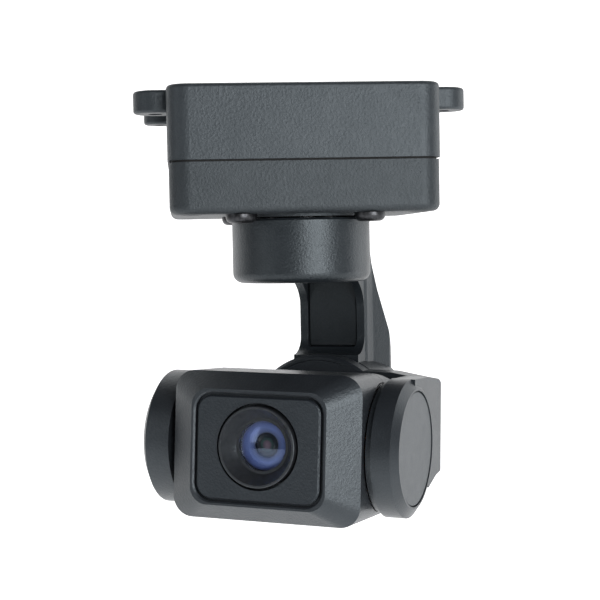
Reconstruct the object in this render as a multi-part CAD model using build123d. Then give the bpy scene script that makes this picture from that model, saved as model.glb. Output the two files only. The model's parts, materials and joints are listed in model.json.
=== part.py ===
from build123d import *
import os

# Three-axis camera gimbal, hanging from its base box. Millimetres, +Z up, front towards -Y.
# The origin is where the yaw axis meets the top face of the base.
# Arm pieces are drawn about the yaw axis. Bracket and camera pieces are drawn about the
# crossing of the roll and pitch axes, and turned to the resting pose when they are placed.

# Resting pose, degrees
REST_YAW = -25.5
REST_ROLL = 1.4
REST_PITCH = -3.0

# Base box
BASE_SIDE = 50.0
BASE_FRONT = -15.3
BASE_REAR = BASE_FRONT + BASE_SIDE
BASE_MID_Y = BASE_FRONT + BASE_SIDE / 2
BASE_CORNER = 4.0
BASE_WALL = 1.8
BASE_PLATE = 2.4
UPPER_BOTTOM = -13.7
LOWER_TOP = -14.1
BASE_BOTTOM = -23.6
BASE_FLOOR = BASE_BOTTOM + BASE_PLATE
BOSS_R = 12.5
BOSS_BOTTOM = BASE_BOTTOM - 0.5
LOWER_INSET = 0.2

# Mounting ears: distance behind the front face, reach, radius of the round end, hole radius
EAR_THICK = 4.2
EAR_DROP = 0.3
FRONT_EAR = {"back": 12.5, "reach": 6.2, "round": 4.1, "hole": 1.35}
REAR_EAR = {"back": 37.5, "reach": 4.8, "round": 3.3, "hole": 1.1}

# Base screws and board
CORNER_SCREW = 20.9
MOTOR_SCREW = 11.8
BUTTON_HEAD_R = 2.85
BUTTON_HEAD_H = 1.65
BOARD_SCREW = 14.0
BOARD_TOP = -8.2
BOARD_BOTTOM = -9.4
PORTS = ((-9.0, 9.0), (6.0, 11.5))
PORT_HEIGHT = 3.2
PIN_PITCH = 1.25
BOARD_CHIPS = (
    (0, -6, 7, 7, 1.0),
    (-8, 3, 4, 5, 0.9),
    (8, 2, 5, 4, 1.2),
    (-9, -8, 3, 3, 1.4),
    (9, -9, 3, 4, 0.8),
)

# Motors
SHAFT_R = 1.5
BEARING_R = 3.0
BEARING_W = 2.5
TUBE_R = 4.0
STATOR_R = 10.4
MAGNET_OUT = 11.9
MAGNET_IN = 10.75
MAGNET_COUNT = 14
TOOTH_COUNT = 12
CORE_HEIGHT = 5.6
FIT = 0.02

# Yaw motor cup and the arm
CUP_R = 13.1
CUP_TOP = -24.4
CUP_BOTTOM = -36.4
CUP_FLOOR = CUP_BOTTOM + 1.6
YAW_TUBE_BOTTOM = -33.4
YAW_CORE_Z = -29.4
YAW_SHAFT_TOP = -18.4
YAW_BOARD_Z = -16.8
ARM_FRONT = 16.8
ARM_HALF_FRONT = 6.8
ARM_HALF_SIDE = 7.4
ARM_HALF_REAR = 9.6
CHANNEL_HALF = 5.2
CHANNEL_TOP = -36.7
CHANNEL_BOTTOM = -50.0
CHANNEL_BACK = 19.2
WAY_FRONT = 17.9
WAY_BACK = 18.8
WAY_TOP = -33.4
WAY_BOTTOM = -51.4
RIBBON_THICK = 0.3

# Crossing of the roll and pitch axes
AXIS_Y = -6.8
AXIS_Z = -66.2

# Roll motor housing, along Y, in arm coordinates
DRUM_R = 15.0
DRUM_FRONT = 12.6
DRUM_REAR = 25.6
DRUM_BORE = 13.6
DRUM_WALL = 22.2
DRUM_POCKET = 23.8
DRUM_POCKET_R = 12.8
REAR_CAP_FRONT = 24.6
REAR_CAP_SCREW = 9.6
ROLL_TUBE_FRONT = 14.4
ROLL_CORE_Y = 17.8

# Roll bracket, in axis coordinates
PLATE_FRONT = 14.5
PLATE_SPLIT = PLATE_FRONT + 1.3
PLATE_REAR = PLATE_FRONT + 4.6
PLATE_DISC_R = 15.2
COVER_DISC_R = 14.2
SIDE_INNER = 19.5
SIDE_SPLIT = 20.3
SIDE_OUTER = 23.9
BRACKET_TOP = 12.3
BRACKET_CORNER_TOP = 9.6
BRACKET_LOW = -6.4
BRACKET_BEVEL = 1.5
SIDE_LIP = 18.35
SIDE_LIP_R = 11.9
DUCT_BACK = PLATE_SPLIT + 1.5
DUCT_SIDE = 21.9
DUCT_BOTTOM = 2.0
DUCT_TOP = 8.0
COVER_SCREWS = ((-9.5, 4.5), (-6.5, -9.0), (7.5, -9.0), (11.5, 9.8))

# Pitch motor housing and the matching cap on the left, in axis coordinates
CAP_R = 12.65
CAP_RIM_R = 10.9
CAP_SHOULDER = 23.07
CAP_OUTER = 24.24
CAP_SEAT = 23.2
CAP_SEAT_R = 10.55
CAP_DISC_R = 10.5
CAP_HOLLOW_R = 10.1
LEFT_CAP_INNER = 19.6
LEFT_CAP_SHOULDER = 24.3
LEFT_CAP_OUTER = 25.5
LEFT_CAP_SEAT = 24.45
NECK_R = 9.0
PITCH_WEB = 20.5
PITCH_TUBE_END = 12.9
PITCH_CORE_X = 15.5
PITCH_CORE_R = 9.6
PITCH_CORE_H = 3.4
ROTOR_R = 11.6
ROTOR_BORE = 11.0
ROTOR_FLOOR = 12.7

# Camera body, in axis coordinates
CAM_HALF_W = 18.05
CAM_HALF_H = 13.4
CAM_CORNER = 3.8
CAM_WALL = 1.3
CAM_FRONT = -17.2
BEVEL_BACK = -13.0
BEVEL_HALF_W = 12.9
BEVEL_HALF_H = 10.4
CAM_CAVITY_FRONT = BEVEL_BACK + 0.9
NOSE_CAVITY_FRONT = CAM_FRONT + 2.5
CAM_SPLIT = 1.0
SPLIT_GAP = 0.1
PANEL_HALF_W = 11.75
PANEL_HALF_H = 9.25
PANEL_CORNER = 2.8
PANEL_GAP = 0.45
PANEL_BEVEL = 0.3
PANEL_BACK = CAM_FRONT + 1.2
SHELL_SCREW_X = 10.0
SHELL_SCREW_Z = 10.5
SHELL_POST_R = 1.8

# Camera module
LENS_Z = 0.4
HOOD_R = 7.25
LENS_HOLE_R = 7.75
HOOD_FRONT = CAM_FRONT - 0.6
HOOD_LIP = CAM_FRONT + 2.4
HOOD_BACK = CAM_FRONT + 4.9
HOOD_MOUTH_R = 6.75
HOOD_THROAT_R = 5.0
BARREL_FRONT = CAM_FRONT + 3.1
BARREL_R = 6.0
BARREL_BACK = -1.5
BORE_R = 3.4
GLASS_R = 4.7
GLASS_FRONT = CAM_FRONT + 2.1
GLASS_BACK = CAM_FRONT + 4.7
GLASS_CURVE_R = 9.6
INNER_GLASSES = ((-11.3, -9.9), (-8.0, -6.8), (-4.4, -3.0))
MODULE_FRONT = -9.0
MODULE_HALF_W = 9.75
MODULE_HALF_H = 8.4
SENSOR_BOARD_FRONT = 1.5
PROCESSOR_BOARD_FRONT = 5.2
BOARD_THICK = 1.2


# --- shared shapes ---------------------------------------------------------------------

def block(x0, x1, y0, y1, z0, z1):
    return Pos((x0 + x1) / 2, (y0 + y1) / 2, (z0 + z1) / 2) * Box(x1 - x0, y1 - y0, z1 - z0)


def rod_z(r, z0, z1, x=0.0, y=0.0):
    return Pos(x, y, (z0 + z1) / 2) * Cylinder(r, z1 - z0)


def rod_y(r, y0, y1, x=0.0, z=0.0):
    return Pos(x, (y0 + y1) / 2, z) * Rot(90, 0, 0) * Cylinder(r, y1 - y0)


def rod_x(r, x0, x1):
    return Pos((x0 + x1) / 2, 0, 0) * Rot(0, 90, 0) * Cylinder(r, x1 - x0)


def cone_x(r0, r1, x0, x1):
    """Cone frustum along X, radius r0 at x0 and r1 at x1."""
    return Pos((x0 + x1) / 2, 0, 0) * Rot(0, 90, 0) * Cone(r0, r1, x1 - x0)


def cone_y(r0, r1, y0, y1, z=0.0):
    """Cone frustum along Y, radius r0 at y0 and r1 at y1."""
    return Pos(0, (y0 + y1) / 2, z) * Rot(-90, 0, 0) * Cone(r0, r1, y1 - y0)


def plan_slab(width, depth, corner, z0, z1, y=0.0):
    """Flat slab with corners rounded in plan."""
    return Pos(0, y, z0) * extrude(RectangleRounded(width, depth, corner), z1 - z0)


def front_slab(width, height, corner, y0, y1, z=0.0):
    """Slab standing across the Y axis, with corners rounded in the front view."""
    face = Plane.XZ.offset(-y1) * Pos(0, z) * RectangleRounded(width, height, corner)
    return extrude(face, y1 - y0)


def outline(plane, points):
    """Face with straight sides. Each point is (u, v, radius of its corner)."""
    places = [(u, v) for u, v, _ in points]
    radii = [radius for _, _, radius in points]
    return plane * make_face(FilletPolyline(*places, radius=radii, close=True))


def mirrored(points):
    """The points of a right-hand outline followed by their mirror images on the left."""
    return points + [(-u, v, radius) for u, v, radius in reversed(points)]


def four_corners(dx, dy, cy=0.0):
    return [(sx * dx, cy + sy * dy) for sx in (-1, 1) for sy in (-1, 1)]


def group(pieces):
    """Several separate solids kept as one part."""
    return Compound([solid for piece in pieces for solid in piece.solids()])


# --- motor pieces, drawn on the Z axis and centred on the origin -----------------------

def motor_magnets(r_out, r_in, height):
    """Ring of permanent magnets with a small gap between neighbours."""
    ring = Cylinder(r_out - FIT, height) - Cylinder(r_in, height)
    for i in range(MAGNET_COUNT):
        turn = Rot(0, 0, 360 / MAGNET_COUNT * i)
        ring -= turn * Pos((r_out + r_in) / 2, 0, 0) * Box(4, 0.5, height)
    return ring


def motor_core(r_out, height):
    """Laminated stator: hub, teeth and the shoes at their tips."""
    core = Cylinder(r_out, height) - Cylinder(r_out - 0.9, height)
    for i in range(TOOTH_COUNT):
        turn = Rot(0, 0, 360 / TOOTH_COUNT * (i + 0.5))
        core -= turn * Pos(r_out - 0.5, 0, 0) * Box(3, 0.9, height)
    core += Cylinder(TUBE_R + 1.3, height)
    for i in range(TOOTH_COUNT):
        turn = Rot(0, 0, 360 / TOOTH_COUNT * i)
        core += turn * Pos((TUBE_R + r_out) / 2, 0, 0) * Box(r_out - TUBE_R - 0.8, 1.1, height)
    return core - Cylinder(TUBE_R + FIT, height)


def motor_windings(r_out, height):
    """One copper coil round each tooth: a tapered block with the tooth's slot through it."""
    r_hub = TUBE_R + 1.35
    r_tip = r_out - 0.95
    middle = (r_hub + r_tip) / 2
    sector = Polygon((0, 0), (20, -4.8), (20, 4.8), align=None)
    coil = Pos(middle, 0, 0) * Box(r_tip - r_hub, 2.6, height + 1.0)
    coil &= Pos(0, 0, -height) * extrude(sector, 2 * height)
    coil &= Cylinder(r_tip, 2 * height) - Cylinder(r_hub, 2 * height)
    coil -= Pos(middle, 0, 0) * Box(r_out, 1.16, height + 0.04)
    return group([Rot(0, 0, 360 / TOOTH_COUNT * i) * coil for i in range(TOOTH_COUNT)])


def motor_bearing():
    """Ball bearing, closed by a shield whose groove shows on each face."""
    body = Cylinder(BEARING_R - FIT, BEARING_W) - Cylinder(SHAFT_R + FIT, BEARING_W)
    groove = Cylinder(2.5, 0.15) - Cylinder(2.0, 0.15)
    rise = BEARING_W / 2 - 0.075
    return body - Pos(0, 0, rise) * groove - Pos(0, 0, -rise) * groove


# --- base: the box that is fastened to the aircraft ------------------------------------

def ear(side, spec):
    """Mounting ear: a tongue with a round end."""
    y = BASE_FRONT + spec["back"]
    centre = side * (BASE_SIDE / 2 + spec["reach"] - spec["round"])
    x0, x1 = sorted((centre, side * (BASE_SIDE / 2 - 3)))
    z0, z1 = -EAR_DROP - EAR_THICK, -EAR_DROP
    tongue = block(x0, x1, y - spec["round"], y + spec["round"], z0, z1)
    tongue += rod_z(spec["round"], z0, z1, centre, y)
    return fillet(tongue.edges().filter_by(GeomType.CIRCLE), 0.6)


def ear_hole(side, spec):
    x = side * (BASE_SIDE / 2 + spec["reach"] - spec["round"])
    return rod_z(spec["hole"], -EAR_DROP - EAR_THICK - 1, 1, x, BASE_FRONT + spec["back"])


def port_window(x, width):
    """Opening in the rear wall for one wire socket, just under the main board."""
    half = width / 2
    z0 = BOARD_BOTTOM - PORT_HEIGHT
    return block(x - half, x + half, BASE_REAR - 4, BASE_REAR + 1, z0, BOARD_BOTTOM)


def base_upper_shell():
    body = plan_slab(BASE_SIDE, BASE_SIDE, BASE_CORNER, UPPER_BOTTOM, 0, BASE_MID_Y)
    body = fillet(body.edges().group_by(Axis.Z)[-1], 0.8)
    inside = BASE_SIDE - 2 * BASE_WALL
    for spec in (FRONT_EAR, REAR_EAR):
        for side in (-1, 1):
            body += ear(side, spec)
    body -= plan_slab(inside, inside, 2.0, UPPER_BOTTOM, -BASE_PLATE, BASE_MID_Y)
    for spec in (FRONT_EAR, REAR_EAR):
        for side in (-1, 1):
            body -= ear_hole(side, spec)
    for x, y in four_corners(CORNER_SCREW, CORNER_SCREW, BASE_MID_Y):
        body += rod_z(2.4, UPPER_BOTTOM, -BASE_PLATE, x, y)
        body -= rod_z(0.82, UPPER_BOTTOM, -5.0, x, y)
    for x, y in four_corners(BOARD_SCREW, BOARD_SCREW, BASE_MID_Y):
        body += rod_z(1.7, BOARD_TOP, -BASE_PLATE, x, y)
        body -= rod_z(0.82, BOARD_TOP, -4.0, x, y)
    for x, width in PORTS:
        body -= port_window(x, width)
    return body


def base_lower_shell():
    side = BASE_SIDE - 2 * LOWER_INSET
    inside = BASE_SIDE - 2 * BASE_WALL
    body = plan_slab(side, side, BASE_CORNER - LOWER_INSET, BASE_BOTTOM, LOWER_TOP, BASE_MID_Y)
    body = fillet(body.edges().group_by(Axis.Z)[0], 1.4)
    body += rod_z(BOSS_R, BOSS_BOTTOM, BASE_BOTTOM)
    body -= plan_slab(inside, inside, 2.0, BASE_FLOOR, LOWER_TOP, BASE_MID_Y)
    for x, y in four_corners(CORNER_SCREW, CORNER_SCREW, BASE_MID_Y):
        body += rod_z(2.4, BASE_FLOOR, LOWER_TOP, x, y)
        body -= rod_z(1.05, BASE_BOTTOM, LOWER_TOP, x, y)
        body -= rod_z(2.0, BASE_BOTTOM, BASE_BOTTOM + 1.1, x, y)
    for x, y in four_corners(MOTOR_SCREW, MOTOR_SCREW):
        body -= rod_z(1.3, BASE_BOTTOM, BASE_FLOOR, x, y)
    return body - rod_z(6.3, BOSS_BOTTOM, BASE_FLOOR)


def base_seam_gasket():
    """Thin seal set back in the seam between the two shells."""
    outer = BASE_SIDE - 1.4
    inner = BASE_SIDE - 2 * BASE_WALL + 0.4
    ring = plan_slab(outer, outer, BASE_CORNER - 0.7, LOWER_TOP, UPPER_BOTTOM, BASE_MID_Y)
    return ring - plan_slab(inner, inner, 2.2, LOWER_TOP, UPPER_BOTTOM, BASE_MID_Y)


def base_shell_screws():
    """Corner screws, let into the underside and threaded into the upper shell."""
    screws = []
    for x, y in four_corners(CORNER_SCREW, CORNER_SCREW, BASE_MID_Y):
        z0 = BASE_BOTTOM + 0.1
        z1 = BASE_BOTTOM + 1.1
        head = rod_z(1.9, z0, z1, x, y) - rod_z(0.7, z0, z0 + 0.6, x, y)
        screws.append(head + rod_z(0.8, z1, -6.5, x, y))
    return group(screws)


def base_main_board():
    half = 18.0
    board = block(-half, half, BASE_MID_Y - half, BASE_MID_Y + half, BOARD_BOTTOM, BOARD_TOP)
    for x, y in four_corners(BOARD_SCREW, BOARD_SCREW, BASE_MID_Y):
        board -= rod_z(0.95, BOARD_BOTTOM, BOARD_TOP, x, y)
    for x, y, width, depth, height in BOARD_CHIPS:
        board += Pos(x, BASE_MID_Y + y, BOARD_TOP + height / 2) * Box(width, depth, height)
    return board


def base_board_screws():
    screws = []
    for x, y in four_corners(BOARD_SCREW, BOARD_SCREW, BASE_MID_Y):
        z0 = BOARD_BOTTOM - 0.8
        head = rod_z(1.5, z0, BOARD_BOTTOM, x, y) - rod_z(0.6, z0, z0 + 0.5, x, y)
        screws.append(head + rod_z(0.8, BOARD_BOTTOM, BOARD_TOP + 3.2, x, y))
    return group(screws)


def base_port_sockets():
    """Two plastic wire sockets under the main board, their mouths in the rear wall."""
    sockets = []
    for x, width in PORTS:
        half = width / 2 - 0.1
        mouth = half - 0.5
        z0 = BOARD_BOTTOM - PORT_HEIGHT + 0.1
        shell = block(x - half, x + half, BASE_REAR - 6.5, BASE_REAR - 0.3, z0, BOARD_BOTTOM)
        shell -= block(x - mouth, x + mouth, BASE_REAR - 5, BASE_REAR, z0 + 0.5, BOARD_BOTTOM - 0.5)
        pins = int(width / PIN_PITCH) - 1
        middle = (z0 + BOARD_BOTTOM) / 2
        for i in range(pins):
            px = x + (i - (pins - 1) / 2) * PIN_PITCH
            shell += Pos(px, BASE_REAR - 3.5, middle) * Box(0.3, 3.4, 0.3)
        sockets.append(shell)
    return group(sockets)


def yaw_motor_screws():
    """Four button-head screws that clamp the yaw motor's flange to the floor of the base."""
    screws = []
    for x, y in four_corners(MOTOR_SCREW, MOTOR_SCREW):
        z0 = BASE_BOTTOM - BUTTON_HEAD_H
        head = rod_z(BUTTON_HEAD_R, z0, BASE_BOTTOM, x, y)
        head = fillet(head.edges().group_by(Axis.Z)[0], 1.2)
        head -= Pos(x, y, z0) * extrude(RegularPolygon(1.15, 6), 0.9)
        screws.append(head + rod_z(1.2, BASE_BOTTOM, BASE_BOTTOM + 4.4, x, y))
    return group(screws)


def yaw_stator_mount():
    """Flange on the base floor with the tube that carries the stator and its bearings."""
    flange_top = BASE_FLOOR + BEARING_W
    body = plan_slab(30, 28.4, 3, BASE_FLOOR, flange_top, 0.8)
    body += rod_z(6.2, BASE_BOTTOM - 1.2, BASE_FLOOR)
    body += rod_z(TUBE_R, YAW_TUBE_BOTTOM, BASE_BOTTOM)
    body -= rod_z(2.2, YAW_TUBE_BOTTOM, flange_top)
    body -= rod_z(BEARING_R, YAW_TUBE_BOTTOM, YAW_TUBE_BOTTOM + BEARING_W)
    body -= rod_z(BEARING_R, BASE_FLOOR, flange_top)
    for x, y in four_corners(MOTOR_SCREW, MOTOR_SCREW):
        body -= rod_z(1.22, BASE_FLOOR, flange_top, x, y)
    for x, y in four_corners(5.2, 5.2):
        body += rod_z(1.0, flange_top, YAW_BOARD_Z, x, y)
    return body


def yaw_stator_core():
    return Pos(0, 0, YAW_CORE_Z) * motor_core(STATOR_R, CORE_HEIGHT)


def yaw_stator_windings():
    return Pos(0, 0, YAW_CORE_Z) * motor_windings(STATOR_R, CORE_HEIGHT)


def yaw_bearings():
    places = (YAW_TUBE_BOTTOM, BASE_FLOOR)
    return group([Pos(0, 0, z + BEARING_W / 2) * motor_bearing() for z in places])


def yaw_encoder_board():
    board = plan_slab(14, 14, 2, YAW_BOARD_Z, YAW_BOARD_Z + 0.8)
    return board + block(-2, 2, -1.5, 1.5, YAW_BOARD_Z + 0.8, YAW_BOARD_Z + 1.6)


# --- yaw arm: cup, arm and roll motor housing in one casting ---------------------------

def arm_blade():
    """The arm between the cup and the drum, cut from its side view and its plan."""
    top = CUP_TOP - 1.9
    drum_top = AXIS_Z + DRUM_R
    side = outline(Plane.YZ, [
        (9.0, top, 0),
        (18.4, top, 1.0),
        (21.5, CUP_TOP - 14.2, 8.0),
        (DRUM_REAR - 0.4, CUP_TOP - 25.4, 6.0),
        (DRUM_REAR - 0.2, AXIS_Z, 0),
        (DRUM_FRONT, AXIS_Z, 0),
        (DRUM_FRONT, drum_top - 0.2, 0),
        (ARM_FRONT, drum_top + 0.5, 4.0),
        (ARM_FRONT, CUP_BOTTOM - 3.2, 6.0),
        (DRUM_FRONT - 0.3, CUP_BOTTOM + 0.6, 0),
        (9.0, CUP_BOTTOM + 0.6, 0),
    ])
    plan = outline(Plane.XY, mirrored([
        (ARM_HALF_FRONT, 8.0, 0),
        (ARM_HALF_FRONT, ARM_FRONT, 0.4),
        (ARM_HALF_FRONT + 0.4, ARM_FRONT + 0.8, 0.6),
        (ARM_HALF_SIDE, ARM_FRONT + 3.4, 1.0),
        (ARM_HALF_REAR, DRUM_REAR - 1.2, 0.5),
        (ARM_HALF_REAR, DRUM_REAR, 0),
    ]))
    height = CUP_TOP - AXIS_Z
    return extrude(side, ARM_HALF_REAR + 1, both=True) & (Pos(0, 0, AXIS_Z) * extrude(plan, height))


def yaw_arm():
    cup = rod_z(CUP_R, CUP_BOTTOM, CUP_TOP)
    cup = fillet(cup.edges().group_by(Axis.Z)[0], 1.9)
    cup = chamfer(cup.edges().group_by(Axis.Z)[-1], 0.4)
    drum = rod_y(DRUM_R, DRUM_FRONT, DRUM_REAR, z=AXIS_Z)
    drum = fillet(drum.edges().group_by(Axis.Y)[-1], 1.0)
    drum = chamfer(drum.edges().group_by(Axis.Y)[0], 0.4)
    body = cup + arm_blade() + drum
    body -= rod_z(MAGNET_OUT, CUP_FLOOR, CUP_TOP)
    body += rod_z(3.0, CUP_FLOOR, CUP_FLOOR + 0.8)
    body -= rod_z(SHAFT_R + FIT, CUP_BOTTOM + 0.4, CUP_FLOOR + 0.8)
    body -= rod_y(DRUM_BORE, DRUM_FRONT, DRUM_WALL, z=AXIS_Z)
    body -= rod_y(DRUM_POCKET_R, DRUM_POCKET, DRUM_REAR, z=AXIS_Z)
    body += rod_y(TUBE_R, ROLL_TUBE_FRONT, DRUM_WALL, z=AXIS_Z)
    body -= rod_y(2.2, ROLL_TUBE_FRONT, DRUM_POCKET, z=AXIS_Z)
    body -= rod_y(BEARING_R, ROLL_TUBE_FRONT, ROLL_TUBE_FRONT + BEARING_W, z=AXIS_Z)
    body -= rod_y(BEARING_R, DRUM_WALL - BEARING_W, DRUM_POCKET, z=AXIS_Z)
    for x, z in four_corners(REAR_CAP_SCREW / 2 ** 0.5, REAR_CAP_SCREW / 2 ** 0.5, AXIS_Z):
        body += rod_y(1.6, DRUM_POCKET, REAR_CAP_FRONT, x, z)
        body -= rod_y(0.72, DRUM_WALL, REAR_CAP_FRONT, x, z)
    return body - arm_channel() - cable_ways()


def arm_channel():
    """Recess down the front of the arm for the ribbon cable and its cover."""
    height = CHANNEL_TOP - CHANNEL_BOTTOM
    middle = (CHANNEL_TOP + CHANNEL_BOTTOM) / 2
    return front_slab(2 * CHANNEL_HALF, height, 0.6, 11.0, CHANNEL_BACK, middle)


def cable_ways():
    """Hidden ways from the channel up into the cup and down to the back of the drum."""
    half = 3.0
    back = DRUM_REAR - 0.9
    ways = block(-half, half, WAY_FRONT, WAY_BACK, CHANNEL_TOP - 1, WAY_TOP)
    ways += block(-half, half, 11.0, WAY_BACK, WAY_TOP - 1.1, WAY_TOP)
    ways += block(-half, half, WAY_FRONT, WAY_BACK, WAY_BOTTOM, CHANNEL_BOTTOM + 1)
    ways += block(-half, half, WAY_FRONT, back, WAY_BOTTOM, WAY_BOTTOM + 1)
    return ways + block(-half, half, DRUM_POCKET, back, -55.5, WAY_BOTTOM + 1)


def arm_ribbon_cable():
    """Film cable through the ways, a little clear of their walls."""
    half = 2.6
    front = WAY_FRONT + 0.3
    back = DRUM_REAR - 1.2
    top = WAY_TOP - 0.4
    bottom = WAY_BOTTOM + 0.4
    ribbon = block(-half, half, front, front + RIBBON_THICK, bottom, top)
    ribbon += block(-half, half, 11.3, front + RIBBON_THICK, top - RIBBON_THICK, top)
    ribbon += block(-half, half, front, back, bottom, bottom + RIBBON_THICK)
    return ribbon + block(-half, half, back - RIBBON_THICK, back, -56.0, bottom + RIBBON_THICK)


def arm_cable_cover():
    """Plate that closes the channel, a little below the rims on each side."""
    height = CHANNEL_TOP - CHANNEL_BOTTOM - 0.06
    middle = (CHANNEL_TOP + CHANNEL_BOTTOM) / 2
    y0 = ARM_FRONT + 0.35
    plate = front_slab(2 * CHANNEL_HALF - 0.06, height, 0.57, y0, y0 + 0.8, middle)
    return chamfer(plate.edges().group_by(Axis.Y)[0], 0.3)


def yaw_magnets():
    return Pos(0, 0, -29.8) * motor_magnets(MAGNET_OUT, MAGNET_IN, 7.4)


def yaw_shaft():
    return chamfer(rod_z(SHAFT_R, CUP_BOTTOM + 0.5, YAW_SHAFT_TOP).edges(), 0.2)


def yaw_encoder_magnet():
    return rod_z(2.0, YAW_SHAFT_TOP, YAW_SHAFT_TOP + 1.0)


def roll_stator_core():
    return Pos(0, ROLL_CORE_Y, AXIS_Z) * Rot(90, 0, 0) * motor_core(STATOR_R, CORE_HEIGHT)


def roll_stator_windings():
    return Pos(0, ROLL_CORE_Y, AXIS_Z) * Rot(90, 0, 0) * motor_windings(STATOR_R, CORE_HEIGHT)


def roll_bearings():
    places = (ROLL_TUBE_FRONT + BEARING_W / 2, DRUM_WALL - BEARING_W / 2)
    return group([Pos(0, y, AXIS_Z) * Rot(90, 0, 0) * motor_bearing() for y in places])


def roll_encoder_board():
    return rod_y(6.0, DRUM_POCKET, DRUM_POCKET + 0.6, z=AXIS_Z)


def roll_rear_cap():
    """Round plate that closes the back of the roll motor."""
    plate = rod_y(DRUM_POCKET_R - 0.1, REAR_CAP_FRONT, DRUM_REAR, z=AXIS_Z)
    plate = chamfer(plate.edges().group_by(Axis.Y)[-1], 0.3)
    for x, z in four_corners(REAR_CAP_SCREW / 2 ** 0.5, REAR_CAP_SCREW / 2 ** 0.5, AXIS_Z):
        plate -= rod_y(0.85, REAR_CAP_FRONT, DRUM_REAR, x, z)
        plate -= rod_y(1.5, DRUM_REAR - 0.6, DRUM_REAR, x, z)
    return plate


def roll_rear_cap_screws():
    screws = []
    for x, z in four_corners(REAR_CAP_SCREW / 2 ** 0.5, REAR_CAP_SCREW / 2 ** 0.5, AXIS_Z):
        head = rod_y(1.4, DRUM_REAR - 0.6, DRUM_REAR, x, z)
        head -= rod_y(0.55, DRUM_REAR - 0.35, DRUM_REAR, x, z)
        screws.append(head + rod_y(0.7, DRUM_WALL + 0.3, DRUM_REAR - 0.6, x, z))
    return group(screws)


# --- roll bracket: one-sided angle from the roll motor to the pitch motor ---------------

def bracket_plate():
    """Rear plate: a disc on the roll axis with an arm out to the right."""
    disc = rod_y(PLATE_DISC_R, PLATE_FRONT, PLATE_REAR)
    disc = chamfer(disc.edges().group_by(Axis.Y)[0], 0.5)
    disc = chamfer(disc.edges().group_by(Axis.Y)[-1], 0.8)
    face = outline(Plane.XZ, [
        (0, BRACKET_LOW, 0),
        (SIDE_OUTER, BRACKET_LOW, 1.0),
        (SIDE_OUTER, BRACKET_CORNER_TOP, 0.4),
        (SIDE_OUTER - 2.4, BRACKET_TOP - 1.1, 1.5),
        (SIDE_OUTER - 9.0, BRACKET_TOP, 4.0),
        (0, BRACKET_TOP, 0),
    ])
    arm = Pos(0, PLATE_REAR, 0) * extrude(face, PLATE_REAR - PLATE_FRONT)
    return disc + arm


def bracket_side():
    """Side arm that runs forward from the elbow to the pitch motor."""
    face = outline(Plane.YZ, [
        (0, 0, 0),
        (0, 12.6, 0),
        (9.0, BRACKET_TOP, 3.0),
        (PLATE_REAR - 3.0, BRACKET_TOP - 1.0, 2.0),
        (PLATE_REAR, BRACKET_CORNER_TOP, 0.4),
        (PLATE_REAR, BRACKET_LOW, 1.0),
        (14.4, BRACKET_LOW - 0.6, 2.5),
        (9.4, -8.6, 0),
    ])
    return Pos(SIDE_INNER, 0, 0) * extrude(face, SIDE_OUTER - SIDE_INNER)


def bracket_elbow_space():
    """Everything inside the bevelled outer corner of the elbow."""
    face = outline(Plane.XY, [
        (-16, -13, 0),
        (SIDE_OUTER, -13, 0),
        (SIDE_OUTER, PLATE_REAR - BRACKET_BEVEL, 0),
        (SIDE_OUTER - BRACKET_BEVEL, PLATE_REAR, 0),
        (-16, PLATE_REAR, 0),
    ])
    return extrude(face, 20, both=True)


def cover_space(gap):
    """Room for the inner cover: along the front of the plate and inside the side arm."""
    disc = rod_y(COVER_DISC_R + gap, PLATE_FRONT - 1, PLATE_SPLIT + gap)
    plan = outline(Plane.XY, [
        (0, PLATE_FRONT - 1, 0),
        (SIDE_INNER - 1, PLATE_FRONT - 1, 0),
        (SIDE_INNER - 1, 0, 0),
        (SIDE_SPLIT + gap, 0, 0),
        (SIDE_SPLIT + gap, PLATE_SPLIT + gap, 1.6),
        (0, PLATE_SPLIT + gap, 0),
    ])
    room = Pos(0, 0, BRACKET_LOW - 1) * extrude(plan, BRACKET_TOP - BRACKET_LOW + 2)
    return disc + room - rod_x(CAP_R + 0.1 - gap, SIDE_INNER - 2, SIDE_OUTER)


def bracket_ducts():
    """Duct for the ribbon cable behind the cover, from the roll axis to the pitch motor."""
    duct = block(3, DUCT_SIDE, PLATE_SPLIT, DUCT_BACK, DUCT_BOTTOM, DUCT_TOP)
    return duct + block(SIDE_SPLIT, DUCT_SIDE, 8.0, DUCT_BACK, DUCT_BOTTOM, DUCT_TOP)


def roll_bracket():
    body = (bracket_plate() + bracket_side()) & bracket_elbow_space()
    body += rod_x(CAP_R, SIDE_INNER, CAP_SHOULDER)
    body += cone_x(CAP_R, CAP_RIM_R, CAP_SHOULDER, CAP_OUTER)
    body += rod_x(TUBE_R, PITCH_TUBE_END, SIDE_INNER)
    body -= cover_space(0)
    body += rod_x(SIDE_LIP_R, SIDE_LIP, SIDE_INNER) - rod_x(SIDE_LIP_R - 0.7, SIDE_LIP, SIDE_INNER)
    body -= bracket_ducts()
    body -= rod_x(CAP_SEAT_R, CAP_SEAT, CAP_OUTER)
    body -= rod_x(CAP_HOLLOW_R, PITCH_WEB, CAP_SEAT)
    body -= rod_x(2.2, PITCH_TUBE_END, PITCH_WEB)
    body -= rod_x(BEARING_R, PITCH_TUBE_END, PITCH_TUBE_END + BEARING_W)
    body -= rod_x(BEARING_R, PITCH_WEB - BEARING_W, PITCH_WEB)
    for y, z in four_corners(6.2, 6.2):
        body += Pos(0, y, z) * rod_x(1.0, PITCH_WEB, 22.2)
    body -= rod_y(SHAFT_R + FIT, PLATE_SPLIT + 0.7, PLATE_REAR)
    for x, z in COVER_SCREWS:
        body -= rod_y(0.6, PLATE_SPLIT, PLATE_REAR - 0.8, x, z)
    return body


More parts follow.
